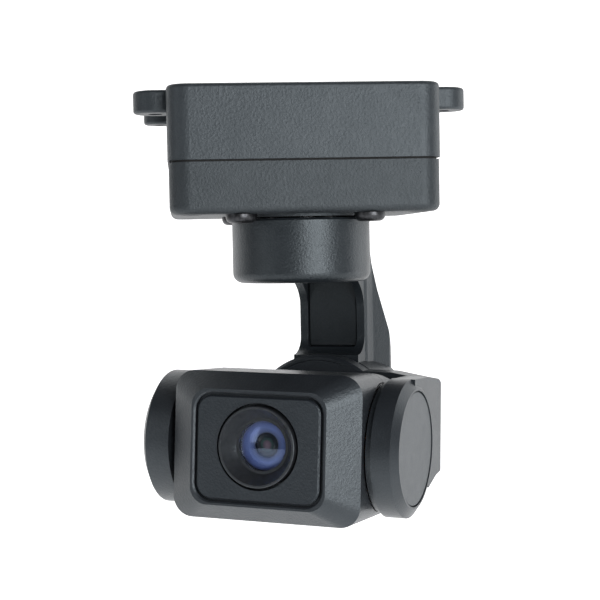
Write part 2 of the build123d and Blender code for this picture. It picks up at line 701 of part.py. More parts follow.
def roll_bracket_cover():
    """Thin inner cover that hides the ribbon cable in the bracket."""
    whole = bracket_plate() + bracket_side()
    cover = cover_space(-0.1) & whole
    cover = cover - rod_x(CAP_R + 0.2, SIDE_INNER - 2, SIDE_OUTER)
    for x, z in COVER_SCREWS:
        cover -= rod_y(0.75, PLATE_FRONT, PLATE_SPLIT, x, z)
        cover -= rod_y(1.3, PLATE_FRONT, PLATE_FRONT + 0.6, x, z)
    return cover


def bracket_cover_screws():
    screws = []
    for x, z in COVER_SCREWS:
        head = rod_y(1.2, PLATE_FRONT + 0.05, PLATE_FRONT + 0.6, x, z)
        head -= rod_y(0.5, PLATE_FRONT + 0.05, PLATE_FRONT + 0.3, x, z)
        screws.append(head + rod_y(0.58, PLATE_FRONT + 0.6, PLATE_REAR - 1.2, x, z))
    return group(screws)


def bracket_ribbon_cable():
    y0 = PLATE_SPLIT + 0.4
    y1 = y0 + RIBBON_THICK
    x1 = DUCT_SIDE - 0.5
    z0 = DUCT_BOTTOM + 0.5
    z1 = DUCT_TOP - 0.5
    return block(3.4, x1, y0, y1, z0, z1) + block(x1 - RIBBON_THICK, x1, 8.6, y1, z0, z1)


def roll_rotor_ring():
    """Steel ring on the back of the bracket that holds the roll motor's magnets."""
    end = DRUM_WALL - 0.8 - AXIS_Y
    return rod_y(13.2, PLATE_REAR, end) - rod_y(MAGNET_OUT, PLATE_REAR, end)


def roll_magnets():
    return Pos(0, ROLL_CORE_Y - AXIS_Y, 0) * Rot(90, 0, 0) * motor_magnets(MAGNET_OUT, MAGNET_IN, 6.6)


def roll_shaft():
    return chamfer(rod_y(SHAFT_R, PLATE_SPLIT + 0.8, DRUM_POCKET - 0.9 - AXIS_Y).edges(), 0.2)


def roll_encoder_magnet():
    end = DRUM_POCKET - 0.9 - AXIS_Y
    return rod_y(2.0, end, end + 0.7)


def pitch_stator_core():
    return Pos(PITCH_CORE_X, 0, 0) * Rot(0, 90, 0) * motor_core(PITCH_CORE_R, PITCH_CORE_H)


def pitch_stator_windings():
    return Pos(PITCH_CORE_X, 0, 0) * Rot(0, 90, 0) * motor_windings(PITCH_CORE_R, PITCH_CORE_H)


def pitch_bearings():
    places = (PITCH_TUBE_END + BEARING_W / 2, PITCH_WEB - BEARING_W / 2)
    return group([Pos(x, 0, 0) * Rot(0, 90, 0) * motor_bearing() for x in places])


def pitch_encoder_board():
    return rod_x(9.2, 22.2, 22.8)


def pitch_end_cap():
    """Round plate that closes the outside of the pitch motor."""
    plate = rod_x(CAP_DISC_R, CAP_SEAT, CAP_OUTER - 0.15)
    return chamfer(plate.edges().group_by(Axis.X)[-1], 0.25)


# --- camera head ------------------------------------------------------------------------

def camera_outside():
    """Outer form of the camera: bevelled front, box middle, back rounded about the pitch axis."""
    width = 2 * CAM_HALF_W
    height = 2 * CAM_HALF_H
    nose = loft([
        Plane.XZ.offset(-BEVEL_BACK) * RectangleRounded(width, height, CAM_CORNER),
        Plane.XZ.offset(-CAM_FRONT) * RectangleRounded(2 * BEVEL_HALF_W, 2 * BEVEL_HALF_H, 3.2),
    ], ruled=True)
    front = front_slab(width, height, CAM_CORNER, BEVEL_BACK, 0)
    back = front_slab(width, height, CAM_CORNER, 0, CAM_HALF_H)
    back &= rod_x(CAM_HALF_H, -CAM_HALF_W, CAM_HALF_W)
    return nose + front + back


def camera_inside():
    width = 2 * (CAM_HALF_W - CAM_WALL)
    height = 2 * (CAM_HALF_H - CAM_WALL)
    corner = CAM_CORNER - CAM_WALL
    front = front_slab(width, height, corner, CAM_CAVITY_FRONT, 0)
    back_r = CAM_HALF_H - CAM_WALL
    back = front_slab(width, height, corner, 0, back_r)
    back &= rod_x(back_r, -CAM_HALF_W, CAM_HALF_W)
    nose_w = 2 * PANEL_HALF_W - 3.4
    nose_h = 2 * PANEL_HALF_H + 0.4
    return front + back + front_slab(nose_w, nose_h, 2, NOSE_CAVITY_FRONT, CAM_CAVITY_FRONT)


def side_openings():
    """Round openings: the pitch rotor on the right and the neck of the left cap."""
    right = rod_x(ROTOR_R + 0.2, 10.4, CAM_HALF_W)
    return right + rod_x(NECK_R + 0.05, -CAM_HALF_W, CAM_WALL - CAM_HALF_W)


def camera_front_shell():
    reach = CAM_HALF_W + 1
    body = camera_outside() & block(-reach, reach, CAM_FRONT - 1, CAM_SPLIT, -reach, reach)
    body -= camera_inside()
    for x, z in four_corners(SHELL_SCREW_X, SHELL_SCREW_Z):
        body += rod_y(SHELL_POST_R, CAM_CAVITY_FRONT, CAM_SPLIT, x, z)
        body -= rod_y(0.82, -6.0, CAM_SPLIT, x, z)
    recess_w = 2 * (PANEL_HALF_W + PANEL_GAP)
    recess_h = 2 * (PANEL_HALF_H + PANEL_GAP)
    corner = PANEL_CORNER + PANEL_GAP
    body -= front_slab(recess_w, recess_h, corner, CAM_FRONT - 1, PANEL_BACK)
    wide = PANEL_BEVEL + 0.1
    mouth = RectangleRounded(recess_w + 2 * wide, recess_h + 2 * wide, corner + wide)
    throat = RectangleRounded(recess_w, recess_h, corner)
    body -= loft([
        Plane.XZ.offset(0.1 - CAM_FRONT) * mouth,
        Plane.XZ.offset(0.1 - wide - CAM_FRONT) * throat,
    ], ruled=True)
    body -= rod_y(LENS_HOLE_R, CAM_FRONT, NOSE_CAVITY_FRONT + 0.2, z=LENS_Z)
    return body - side_openings()


def camera_rear_shell():
    reach = CAM_HALF_W + 1
    body = camera_outside() & block(-reach, reach, CAM_SPLIT + SPLIT_GAP, reach, -reach, reach)
    body -= camera_inside()
    posts = []
    for x, z in four_corners(SHELL_SCREW_X, SHELL_SCREW_Z):
        posts.append(rod_y(SHELL_POST_R, CAM_SPLIT + SPLIT_GAP, 8.0, x, z))
    for post in posts:
        body += post & camera_outside()
    for x, z in four_corners(SHELL_SCREW_X, SHELL_SCREW_Z):
        body -= rod_y(0.95, CAM_SPLIT, 10.0, x, z)
        body -= rod_y(1.55, 5.4, 12.0, x, z)
    return body - side_openings()


def camera_shell_screws():
    screws = []
    for x, z in four_corners(SHELL_SCREW_X, SHELL_SCREW_Z):
        head = rod_y(1.45, 5.4, 6.4, x, z) - rod_y(0.6, 5.9, 6.4, x, z)
        screws.append(head + rod_y(0.8, -5.6, 5.4, x, z))
    return group(screws)


def front_panel():
    """Rounded rectangular panel in the nose, with the lens opening."""
    panel = front_slab(2 * PANEL_HALF_W, 2 * PANEL_HALF_H, PANEL_CORNER, CAM_FRONT, PANEL_BACK)
    panel = chamfer(panel.edges().group_by(Axis.Y)[0], PANEL_BEVEL)
    return panel - rod_y(LENS_HOLE_R, CAM_FRONT, PANEL_BACK, z=LENS_Z)


def lens_hood():
    """Conical hood in front of the lens, held behind the nose by its flange."""
    hood = rod_y(HOOD_R, HOOD_FRONT, HOOD_BACK, z=LENS_Z)
    hood = fillet(hood.edges().group_by(Axis.Y)[0], 0.2)
    hood += rod_y(8.6, NOSE_CAVITY_FRONT, NOSE_CAVITY_FRONT + 1.0, z=LENS_Z)
    hood -= cone_y(HOOD_MOUTH_R, HOOD_THROAT_R, HOOD_FRONT, HOOD_LIP, z=LENS_Z)
    hood -= rod_y(4.5, HOOD_LIP, BARREL_FRONT, z=LENS_Z)
    return hood - rod_y(BARREL_R + FIT, BARREL_FRONT, HOOD_BACK, z=LENS_Z)


def lens_barrel():
    barrel = rod_y(BARREL_R, BARREL_FRONT, BARREL_BACK, z=LENS_Z)
    barrel -= rod_y(GLASS_R + FIT, BARREL_FRONT, GLASS_BACK, z=LENS_Z)
    return barrel - rod_y(BORE_R, GLASS_BACK, BARREL_BACK, z=LENS_Z)


def lens_front_element():
    """Domed front glass, seated in the barrel behind the lip of the hood."""
    disc = rod_y(GLASS_R, BARREL_FRONT, GLASS_BACK, z=LENS_Z)
    dome = Pos(0, GLASS_FRONT + GLASS_CURVE_R, LENS_Z) * Sphere(GLASS_CURVE_R)
    return disc + (rod_y(4.45, GLASS_FRONT - 0.4, BARREL_FRONT, z=LENS_Z) & dome)


def lens_iris():
    """Black stop ring behind the front glass."""
    y0 = GLASS_BACK + 0.1
    y1 = GLASS_BACK + 0.9
    return rod_y(BORE_R - FIT, y0, y1, z=LENS_Z) - cone_y(3.0, 2.3, y0, y1, z=LENS_Z)


def lens_inner_elements():
    stack = []
    for y0, y1 in INNER_GLASSES:
        stack.append(rod_y(BORE_R - FIT, y0, y1, z=LENS_Z))
    return group(stack)


def lens_mount():
    """Plastic holder with a round socket for the barrel, standing on the sensor board."""
    mount = rod_y(7.4, MODULE_FRONT, -1.0, z=LENS_Z)
    mount += module_slab(-1.0, SENSOR_BOARD_FRONT)
    mount -= rod_y(BARREL_R + FIT, MODULE_FRONT, BARREL_BACK + 0.2, z=LENS_Z)
    return mount - block(-4.8, 4.8, -2.0, SENSOR_BOARD_FRONT, LENS_Z - 4.8, LENS_Z + 4.8)


def infrared_filter():
    return block(-4.6, 4.6, -1.2, -0.8, LENS_Z - 4.6, LENS_Z + 4.6)


def image_sensor():
    return block(-4.4, 4.4, 0.4, SENSOR_BOARD_FRONT, LENS_Z - 4.0, LENS_Z + 4.0)


def module_slab(front, back):
    return block(-MODULE_HALF_W, MODULE_HALF_W, front, back, -MODULE_HALF_H, MODULE_HALF_H)


def module_board(front):
    return module_slab(front, front + BOARD_THICK)


def sensor_board():
    return module_board(SENSOR_BOARD_FRONT) + block(-6, 6, 2.7, 3.6, -7.5, -5.0)


def processor_board():
    board = module_board(PROCESSOR_BOARD_FRONT) + block(-4, 4, 6.4, 7.4, -4, 4)
    return board + block(-6, 6, 4.3, PROCESSOR_BOARD_FRONT, -7.5, -5.0)


def heat_spreader():
    """Aluminium plate on the processor, with feet at its corners down to the board."""
    plate = block(-9.5, 9.5, 7.4, 8.8, -7.2, 7.2)
    for x, z in four_corners(8.2, 6.0):
        plate += rod_y(1.1, PROCESSOR_BOARD_FRONT + BOARD_THICK, 7.4, x, z)
        plate += rod_y(1.1, SENSOR_BOARD_FRONT + BOARD_THICK, PROCESSOR_BOARD_FRONT, x, z)
    return plate


def left_end_cap():
    """Round housing on the camera's left side, joined to the body by a narrower neck."""
    cap = rod_x(CAP_R, -LEFT_CAP_SHOULDER, -LEFT_CAP_INNER)
    cap += cone_x(CAP_RIM_R, CAP_R, -LEFT_CAP_OUTER, -LEFT_CAP_SHOULDER)
    cap += rod_x(NECK_R, -LEFT_CAP_INNER, -CAM_HALF_W + CAM_WALL)
    cap -= rod_x(CAP_SEAT_R, -LEFT_CAP_OUTER, -LEFT_CAP_SEAT)
    cap -= rod_x(CAP_HOLLOW_R, -LEFT_CAP_SEAT, -LEFT_CAP_INNER - 1.3)
    return cap - rod_x(5.5, -LEFT_CAP_SEAT, -CAM_HALF_W + CAM_WALL)


def left_end_cap_disc():
    plate = rod_x(CAP_DISC_R, -LEFT_CAP_OUTER + 0.15, -LEFT_CAP_SEAT)
    return chamfer(plate.edges().group_by(Axis.X)[0], 0.25)


def imu_board():
    """Motion sensor board on the floor of the left cap."""
    x1 = -LEFT_CAP_INNER - 1.3
    return rod_x(8.6, x1 - 0.8, x1) + block(x1 - 1.7, x1 - 0.8, -2, 2, -2, 2)


def pitch_rotor_cup():
    """Steel cup in the camera's right side that holds the pitch motor's magnets."""
    cup = rod_x(ROTOR_R, ROTOR_FLOOR - 0.8, CAM_HALF_W - 0.25)
    cup -= rod_x(ROTOR_BORE, ROTOR_FLOOR, CAM_HALF_W)
    cup += rod_x(3.4, ROTOR_FLOOR - 2.1, ROTOR_FLOOR - 0.8)
    return cup - rod_x(SHAFT_R + FIT, ROTOR_FLOOR - 1.9, ROTOR_FLOOR)


def pitch_magnets():
    return Pos(15.1, 0, 0) * Rot(0, 90, 0) * motor_magnets(ROTOR_BORE, 9.9, 4.4)


def pitch_shaft():
    return chamfer(rod_x(SHAFT_R, ROTOR_FLOOR - 1.8, 21.0).edges(), 0.2)


def pitch_encoder_magnet():
    return rod_x(2.0, 21.0, 21.7)


# --- placing and writing ----------------------------------------------------------------

BASE_PLACE = Location()
ARM_PLACE = Rot(0, 0, REST_YAW)
BRACKET_PLACE = ARM_PLACE * Pos(0, AXIS_Y, AXIS_Z) * Rot(0, REST_ROLL, 0)
CAMERA_PLACE = BRACKET_PLACE * Rot(REST_PITCH, 0, 0)

BASE_PIECES = (
    base_upper_shell, base_lower_shell, base_seam_gasket, base_shell_screws, base_main_board,
    base_board_screws, base_port_sockets, yaw_motor_screws, yaw_stator_mount, yaw_stator_core,
    yaw_stator_windings, yaw_bearings, yaw_encoder_board,
)
ARM_PIECES = (
    yaw_arm, arm_cable_cover, arm_ribbon_cable, yaw_magnets, yaw_shaft, yaw_encoder_magnet,
    roll_stator_core, roll_stator_windings, roll_bearings, roll_encoder_board, roll_rear_cap,
    roll_rear_cap_screws,
)
BRACKET_PIECES = (
    roll_bracket, roll_bracket_cover, bracket_cover_screws, bracket_ribbon_cable,
    roll_rotor_ring, roll_magnets, roll_shaft, roll_encoder_magnet, pitch_stator_core,
    pitch_stator_windings, pitch_bearings, pitch_encoder_board, pitch_end_cap,
)
CAMERA_PIECES = (
    camera_front_shell, camera_rear_shell, camera_shell_screws, front_panel, lens_hood,
    lens_barrel, lens_front_element, lens_iris, lens_inner_elements, lens_mount,
    infrared_filter, image_sensor, sensor_board, processor_board, heat_spreader,
    left_end_cap, left_end_cap_disc, imu_board, pitch_rotor_cup, pitch_magnets,
    pitch_shaft, pitch_encoder_magnet,
)

os.makedirs("parts", exist_ok=True)
for place, pieces in (
    (BASE_PLACE, BASE_PIECES),
    (ARM_PLACE, ARM_PIECES),
    (BRACKET_PLACE, BRACKET_PIECES),
    (CAMERA_PLACE, CAMERA_PIECES),
):
    for piece in pieces:
        export_step(place * piece(), f"parts/{piece.__name__}.step")
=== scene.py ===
import json
import math

import bmesh
import bpy
from mathutils import Matrix, Vector


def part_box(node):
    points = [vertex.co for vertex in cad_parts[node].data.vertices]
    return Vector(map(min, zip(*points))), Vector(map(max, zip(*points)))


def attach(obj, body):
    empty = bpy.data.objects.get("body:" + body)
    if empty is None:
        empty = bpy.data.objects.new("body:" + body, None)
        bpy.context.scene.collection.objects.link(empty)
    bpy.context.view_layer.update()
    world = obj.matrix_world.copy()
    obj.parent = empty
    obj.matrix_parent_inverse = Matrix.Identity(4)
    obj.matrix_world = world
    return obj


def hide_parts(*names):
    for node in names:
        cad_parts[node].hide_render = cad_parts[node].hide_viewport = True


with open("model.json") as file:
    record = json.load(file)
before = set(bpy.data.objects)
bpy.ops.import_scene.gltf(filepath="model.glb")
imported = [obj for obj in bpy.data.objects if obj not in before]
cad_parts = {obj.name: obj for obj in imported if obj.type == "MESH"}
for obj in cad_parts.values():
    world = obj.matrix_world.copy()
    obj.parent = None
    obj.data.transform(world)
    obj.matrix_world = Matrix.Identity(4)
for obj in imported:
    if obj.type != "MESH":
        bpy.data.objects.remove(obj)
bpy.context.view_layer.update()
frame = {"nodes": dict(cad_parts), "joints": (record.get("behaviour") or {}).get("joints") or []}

nodes = frame["nodes"]
MM = 0.001

# --- Base box ---------------------------------------------------------------------------
# Two half shells machined from aluminium, the upper one with the four mounting ears. They
# are bead blasted and then anodised blue-black, which leaves a fine sandy grain all over.


class Finish:
    """A surface finish: one shader, with patterns placed in the object's own millimetres."""

    def __init__(self, name, roughness=0.5, metallic=0.0):
        self.material = bpy.data.materials.new(name)
        self.material.use_nodes = True
        self.tree = self.material.node_tree
        self.shader = self.tree.nodes["Principled BSDF"]
        self.shader.inputs["Roughness"].default_value = roughness
        self.shader.inputs["Metallic"].default_value = metallic
        self.place = self.add("ShaderNodeTexCoord").outputs["Object"]
        self.normal = None

    def add(self, kind, **settings):
        """A new node, with its settings."""
        node = self.tree.nodes.new(kind)
        for key, value in settings.items():
            setattr(node, key, value)
        return node

    def feed(self, socket, value):
        """Links another node's output to a socket, or sets the socket's own value."""
        if isinstance(value, bpy.types.NodeSocket):
            self.tree.links.new(value, socket)
        else:
            socket.default_value = value

    def set(self, **values):
        """Sets the shader's inputs, whose names have _ for each space."""
        for key, value in values.items():
            self.feed(self.shader.inputs[key.replace("_", " ")], value)

    def grain(self, size, detail=2.0, seed=0.0):
        """Soft noise from 0 to 1 whose grains are about size millimetres across."""
        noise = self.add("ShaderNodeTexNoise", noise_dimensions="4D")
        self.feed(noise.inputs["Vector"], self.place)
        noise.inputs["W"].default_value = seed
        noise.inputs["Scale"].default_value = 1 / (size * MM)
        noise.inputs["Detail"].default_value = detail
        return noise.outputs["Fac"]

    def pits(self, size):
        """Distance to the nearest of many scattered points, size millimetres apart."""
        cells = self.add("ShaderNodeTexVoronoi")
        self.feed(cells.inputs["Vector"], self.place)
        cells.inputs["Scale"].default_value = 1 / (size * MM)
        return cells.outputs["Distance"]

    def math(self, operation, first, second=0.0, third=0.0):
        """Sum of that kind on numbers or outputs."""
        node = self.add("ShaderNodeMath", operation=operation)
        for socket, value in zip(node.inputs, (first, second, third)):
            self.feed(socket, value)
        return node.outputs[0]

    def along(self, direction, start=0.0):
        """Millimetres along a direction, from start in metres."""
        dot = self.add("ShaderNodeVectorMath", operation="DOT_PRODUCT")
        self.feed(dot.inputs[0], self.place)
        dot.inputs[1].default_value = direction
        return self.math("MULTIPLY", self.math("SUBTRACT", dot.outputs["Value"], start), 1 / MM)

    def from_axis(self, centre, axis):
        """Millimetres out from a line through centre."""
        away = self.add("ShaderNodeVectorMath", operation="SUBTRACT")
        self.feed(away.inputs[0], self.place)
        away.inputs[1].default_value = centre
        cross = self.add("ShaderNodeVectorMath", operation="CROSS_PRODUCT")
        self.feed(cross.inputs[0], away.outputs[0])
        cross.inputs[1].default_value = axis
        length = self.add("ShaderNodeVectorMath", operation="LENGTH")
        self.feed(length.inputs[0], cross.outputs[0])
        return self.math("MULTIPLY", length.outputs["Value"], 1 / MM)

    def ramp(self, value, stops):
        """Colour or level by value; stops are (place, colour)."""
        ramp = self.add("ShaderNodeValToRGB")
        self.feed(ramp.inputs["Fac"], value)
        bands = ramp.color_ramp.elements
        while len(bands) < len(stops):
            bands.new(0.5)
        for band, (place, colour) in zip(bands, stops):
            band.position = place
            band.color = (*colour, 1.0)
        return ramp.outputs["Color"]

    def spread(self, value, low, high, start=0.3, end=0.7):
        """value's middle range stretched to run from low to high."""
        node = self.add("ShaderNodeMapRange")
        self.feed(node.inputs["Value"], value)
        for key, number in (("From Min", start), ("From Max", end), ("To Min", low), ("To Max", high)):
            node.inputs[key].default_value = number
        return node.outputs["Result"]

    def over(self, mask, below, above):
        """Colour above where mask is 1, and colour below elsewhere."""
        node = self.add("ShaderNodeMix", data_type="RGBA")
        for key, value in (("Factor", mask), ("A", below), ("B", above)):
            self.feed(node.inputs[key], value)
        return node.outputs["Result"]

    def bump(self, height, depth):
        """Relief of that depth in millimetres, on top of any relief already there."""
        node = self.add("ShaderNodeBump")
        node.inputs["Distance"].default_value = depth * MM
        self.feed(node.inputs["Height"], height)
        if self.normal is not None:
            self.feed(node.inputs["Normal"], self.normal)
        self.normal = node.outputs["Normal"]
        self.feed(self.shader.inputs["Normal"], self.normal)


def coat(finish, *names):
    """Puts a finish on CAD nodes or on pieces made here."""
    for name in names:
        piece = nodes[name] if isinstance(name, str) else name
        piece.data.materials.clear()
        piece.data.materials.append(finish.material)


CLOUD_SIZE = 6.0
RUBBED_SIZE = 2.2
FINE_SHARE = 0.6
ROUGHNESS_SWING = 0.025
PIT_SPACING = 2.6
COOL_SHEEN = (0.84, 0.94, 1.0, 1.0)


def anodised(name, dark, light, roughness, grain_size, grain_depth, seed):
    """Bead blasted and anodised aluminium. Sizes and depths are in millimetres."""
    finish = Finish(name)
    cloud = finish.grain(CLOUD_SIZE, 3.0, seed)
    fine = finish.grain(grain_size, 3.0, seed + 1)
    clouds_only = finish.math("MULTIPLY", cloud, 1 - FINE_SHARE)
    mottle = finish.math("MULTIPLY_ADD", fine, FINE_SHARE, clouds_only)
    finish.set(Base_Color=finish.ramp(mottle, ((0.32, dark), (0.68, light))))
    rub = finish.grain(RUBBED_SIZE, 4.0, seed + 2)
    smooth, dull = roughness - ROUGHNESS_SWING, roughness + ROUGHNESS_SWING
    finish.set(Roughness=finish.spread(rub, smooth, dull))
    finish.set(Specular_IOR_Level=0.55, Specular_Tint=COOL_SHEEN)
    finish.bump(fine, grain_depth * 1.5)
    finish.bump(finish.pits(grain_size * PIT_SPACING), grain_depth)
    return finish


base_finish = anodised(
    "base_anodised", (0.011, 0.014, 0.017), (0.025, 0.029, 0.033), 0.46, 0.22, 0.034, 1.0
)
coat(base_finish, "base_upper_shell")
# The lower shell gets a darker copy of the base finish: painted shade on the lower part of the box.
lower_shell_painted_shade = anodised(
    "base_lower_anodised_painted_shade", (0.008, 0.010, 0.012), (0.018, 0.021, 0.024), 0.50, 0.22, 0.040, 2.5
)
coat(lower_shell_painted_shade, "base_lower_shell")


# --- Seal in the base seam --------------------------------------------------------------
# A thin ring of moulded black silicone, squeezed between the half shells and set back
# from the outside so that only a dark line shows.


def mottled(name, roughness, dark, light, size, detail=2.0, metallic=0.0, relief=None):
    """Two tones in patches size millimetres across; relief is (size, depth)."""
    finish = Finish(name, roughness, metallic)
    finish.set(Base_Color=finish.ramp(finish.grain(size, detail), ((0.3, dark), (0.7, light))))
    if relief:
        finish.bump(finish.grain(relief[0]), relief[1])
    return finish


seal_finish = mottled(
    "seal_silicone", 0.8, (0.004, 0.004, 0.004), (0.010, 0.010, 0.011), 0.8, relief=(0.3, 0.01)
)
coat(seal_finish, "base_seam_gasket")


# --- Boards in the base -----------------------------------------------------------------
# Fibreglass boards under green solder mask, with tinned pads and black moulded chips that
# stand on their upper faces.

TINNED = (0.55, 0.50, 0.40, 1.0)
CHIP_BLACK = (0.012, 0.012, 0.013, 1.0)
PAD_SPACING = 1.1
CHIP_START = 0.66
BOARD_HALF = 0.6
THIN_BOARD_HALF = 0.4
CHIP_HEIGHT = 1.0


def board(name, centre, normal, seed):
    """Green board with tinned pads. Its middle plane lies centre metres along normal, and what
    stands further from that plane than CHIP_START millimetres is a chip."""
    finish = Finish(name, 0.42)
    weave = finish.grain(0.5, 3.0, seed)
    pads = finish.pits(PAD_SPACING)
    mask = finish.ramp(weave, ((0.3, (0.004, 0.045, 0.022)), (0.7, (0.010, 0.085, 0.040))))
    printed = finish.over(finish.math("LESS_THAN", pads, 0.16), mask, TINNED)
    proud = finish.math("ABSOLUTE", finish.along(normal, centre))
    chips = finish.math("GREATER_THAN", proud, CHIP_START)
    finish.set(Base_Color=finish.over(chips, printed, CHIP_BLACK))
    finish.bump(finish.math("LESS_THAN", pads, 0.2), 0.02)
    return finish


def reach(node, direction):
    """Lowest and highest place of a CAD node along a direction, in metres."""
    places = [vertex.co @ direction for vertex in nodes[node].data.vertices]
    return min(places), max(places)


def middle(node):
    """Centre of a CAD node's box."""
    low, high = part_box(node)
    return (low + high) / 2


UP = Vector((0, 0, 1))
main_centre = reach("base_main_board", UP)[0] + BOARD_HALF * MM
yaw_centre = reach("yaw_encoder_board", UP)[0] + THIN_BOARD_HALF * MM
coat(board("base_board_mask", main_centre, UP, 3.0), "base_main_board")
coat(board("yaw_encoder_mask", yaw_centre, UP, 4.0), "yaw_encoder_board")


# --- Wire sockets -----------------------------------------------------------------------
# Housings moulded in ivory nylon, soldered under the main board and open at the back of
# the base, with square pins pressed into them.

socket_finish = mottled(
    "socket_nylon", 0.5, (0.52, 0.47, 0.36), (0.64, 0.60, 0.49), 1.5, relief=(0.25, 0.006)
)
socket_finish.set(Subsurface_Weight=0.08)
coat(socket_finish, "base_port_sockets")


# --- Screws -----------------------------------------------------------------------------
# Cold-headed steel screws, zinc plated and blackened. The heads have worn slightly
# brighter on their rims, and the threads are rolled.

WEAR_SEED = 5.0
screw_finish = Finish("screw_blackened", 0.34, 1.0)
wear = screw_finish.grain(0.9, 4.0, WEAR_SEED)
screw_finish.set(Base_Color=screw_finish.ramp(wear, (
    (0.35, (0.030, 0.031, 0.034)), (0.75, (0.085, 0.087, 0.092)))))
scuffs = screw_finish.grain(0.4, 2.0, WEAR_SEED + 1)
screw_finish.set(Roughness=screw_finish.spread(scuffs, 0.30, 0.46))
screw_finish.bump(screw_finish.grain(0.15, 2.0, WEAR_SEED + 2), 0.006)
coat(screw_finish, "bracket_cover_screws")


def tree_with(name, inputs):
    """Geometry node tree with named inputs, given as name: (socket type, value)."""
    tree = bpy.data.node_groups.new(name, "GeometryNodeTree")
    tree.interface.new_socket("Geometry", in_out="INPUT", socket_type="NodeSocketGeometry")
    for label, (kind, value) in inputs.items():
        socket = tree.interface.new_socket(label, in_out="INPUT", socket_type=kind)
        if value is not None:
            socket.default_value = value
    tree.interface.new_socket("Geometry", in_out="OUTPUT", socket_type="NodeSocketGeometry")
    return tree


def grow(tree, kind, sockets=None, **settings):
    """Adds a node to a tree; sockets gives each input's value or the output that feeds it."""
    node = tree.nodes.new(kind)
    for key, value in settings.items():
        setattr(node, key, value)
    for key, value in (sockets or {}).items():
        if isinstance(value, bpy.types.NodeSocket):
            tree.links.new(value, node.inputs[key])
        else:
            node.inputs[key].default_value = value
    return node


def finish_tree(tree, shape, material):
    """Ends a tree: instances made real, material set."""
    real = grow(tree, "GeometryNodeRealizeInstances", {"Geometry": shape})
    painted = grow(tree, "GeometryNodeSetMaterial", {"Geometry": real.outputs[0], "Material": material})
    grow(tree, "NodeGroupOutput", {"Geometry": painted.outputs[0]})


def run_tree(name, tree, values, start, place=Matrix.Identity(4)):
    """Runs a tree on a start mesh and keeps the result as a plain piece, put at place."""
    maker = bpy.data.objects.new(name + "_maker", start)
    bpy.context.scene.collection.objects.link(maker)
    modifier = maker.modifiers.new("maker", "NODES")
    modifier.node_group = tree
    for item in tree.interface.items_tree:
        if item.item_type == "SOCKET" and item.in_out == "INPUT" and item.name in values:
            modifier[item.identifier] = values[item.name]
    bpy.context.view_layer.update()
    shape = maker.evaluated_get(bpy.context.evaluated_depsgraph_get())
    mesh = bpy.data.meshes.new_from_object(shape)
    maker.modifiers.remove(modifier)
    bpy.data.objects.remove(maker)
    mesh.name = name
    mesh.transform(place)
    piece = bpy.data.objects.new(name, mesh)
    bpy.context.scene.collection.objects.link(piece)
    return piece


def points_mesh(name, places):
    """Loose points, one for each copy that a tree makes."""
    mesh = bpy.data.meshes.new(name)
    mesh.from_pydata(places, [], [])
    return mesh


def ringed(name, rings, segments=36):
    """Closed form along Z from rings of (radius, height, six-sided or not), in millimetres."""
    mesh = bpy.data.meshes.new(name)
    form = bmesh.new()
    rows = []
    for radius, height, six in rings:
        row = []
        for step in range(segments if radius else 1):
            turn = 2 * math.pi * step / segments
            off_flat = (turn + math.pi / 6) % (math.pi / 3) - math.pi / 6
            r = radius * MM / math.cos(off_flat) if six else radius * MM
            row.append(form.verts.new((r * math.cos(turn), r * math.sin(turn), height * MM)))
        rows.append(row)
    for low, high in zip(rows, rows[1:]):
        for step in range(segments):
            after = (step + 1) % segments
            corners = []
            for row, index in ((low, step), (low, after), (high, after), (high, step)):
                vertex = row[index if len(row) > 1 else 0]
                if vertex not in corners:
                    corners.append(vertex)
            form.faces.new(corners)
    bmesh.ops.recalc_face_normals(form, faces=form.faces)
    for face in form.faces:
        face.smooth = True
    form.to_mesh(mesh)
    form.free()
    mesh.set_sharp_from_angle(angle=math.radians(32))
    piece = bpy.data.objects.new(name, mesh)
    bpy.context.scene.collection.objects.link(piece)
    return piece


THREAD_PITCH = 0.4
THREAD_STEPS = 14
CREST_SHARE = 0.32
EDGE_ROUND = 0.15

screw_tree = tree_with("screw_set", {
    "Screw": ("NodeSocketObject", None),
    "Thread Radius": ("NodeSocketFloat", 0.001),
    "Thread Pitch": ("NodeSocketFloat", 0.0004),
    "Thread Length": ("NodeSocketFloat", 0.004),
    "Thread Start": ("NodeSocketFloat", 0.001),
    "Turn": ("NodeSocketRotation", None),
    "Finish": ("NodeSocketMaterial", None),
})
given = grow(screw_tree, "NodeGroupInput").outputs
body_info = grow(screw_tree, "GeometryNodeObjectInfo", {"Object": given["Screw"]})
turns = grow(screw_tree, "ShaderNodeMath", {
    0: given["Thread Length"], 1: given["Thread Pitch"],
}, operation="DIVIDE")
helix = grow(screw_tree, "GeometryNodeCurveSpiral", {
    "Resolution": THREAD_STEPS, "Rotations": turns.outputs[0], "Height": given["Thread Length"],
    "Start Radius": given["Thread Radius"], "End Radius": given["Thread Radius"],
})
crest = grow(screw_tree, "ShaderNodeMath", {
    0: given["Thread Pitch"], 1: CREST_SHARE,
}, operation="MULTIPLY")
crest_ring = grow(screw_tree, "GeometryNodeCurvePrimitiveCircle", {
    "Resolution": 4, "Radius": crest.outputs[0],
})
thread_mesh = grow(screw_tree, "GeometryNodeCurveToMesh", {
    "Curve": helix.outputs[0], "Profile Curve": crest_ring.outputs["Curve"], "Fill Caps": True,
})
thread_start = grow(screw_tree, "ShaderNodeCombineXYZ", {"Z": given["Thread Start"]})
thread = grow(screw_tree, "GeometryNodeTransform", {
    "Geometry": thread_mesh.outputs[0], "Translation": thread_start.outputs[0],
})
whole = grow(screw_tree, "GeometryNodeJoinGeometry", {"Geometry": thread.outputs[0]})
screw_tree.links.new(body_info.outputs["Geometry"], whole.inputs["Geometry"])
placed = grow(screw_tree, "GeometryNodeInstanceOnPoints", {
    "Points": given["Geometry"], "Instance": whole.outputs[0], "Rotation": given["Turn"],
})
finish_tree(screw_tree, placed.outputs[0], given["Finish"])


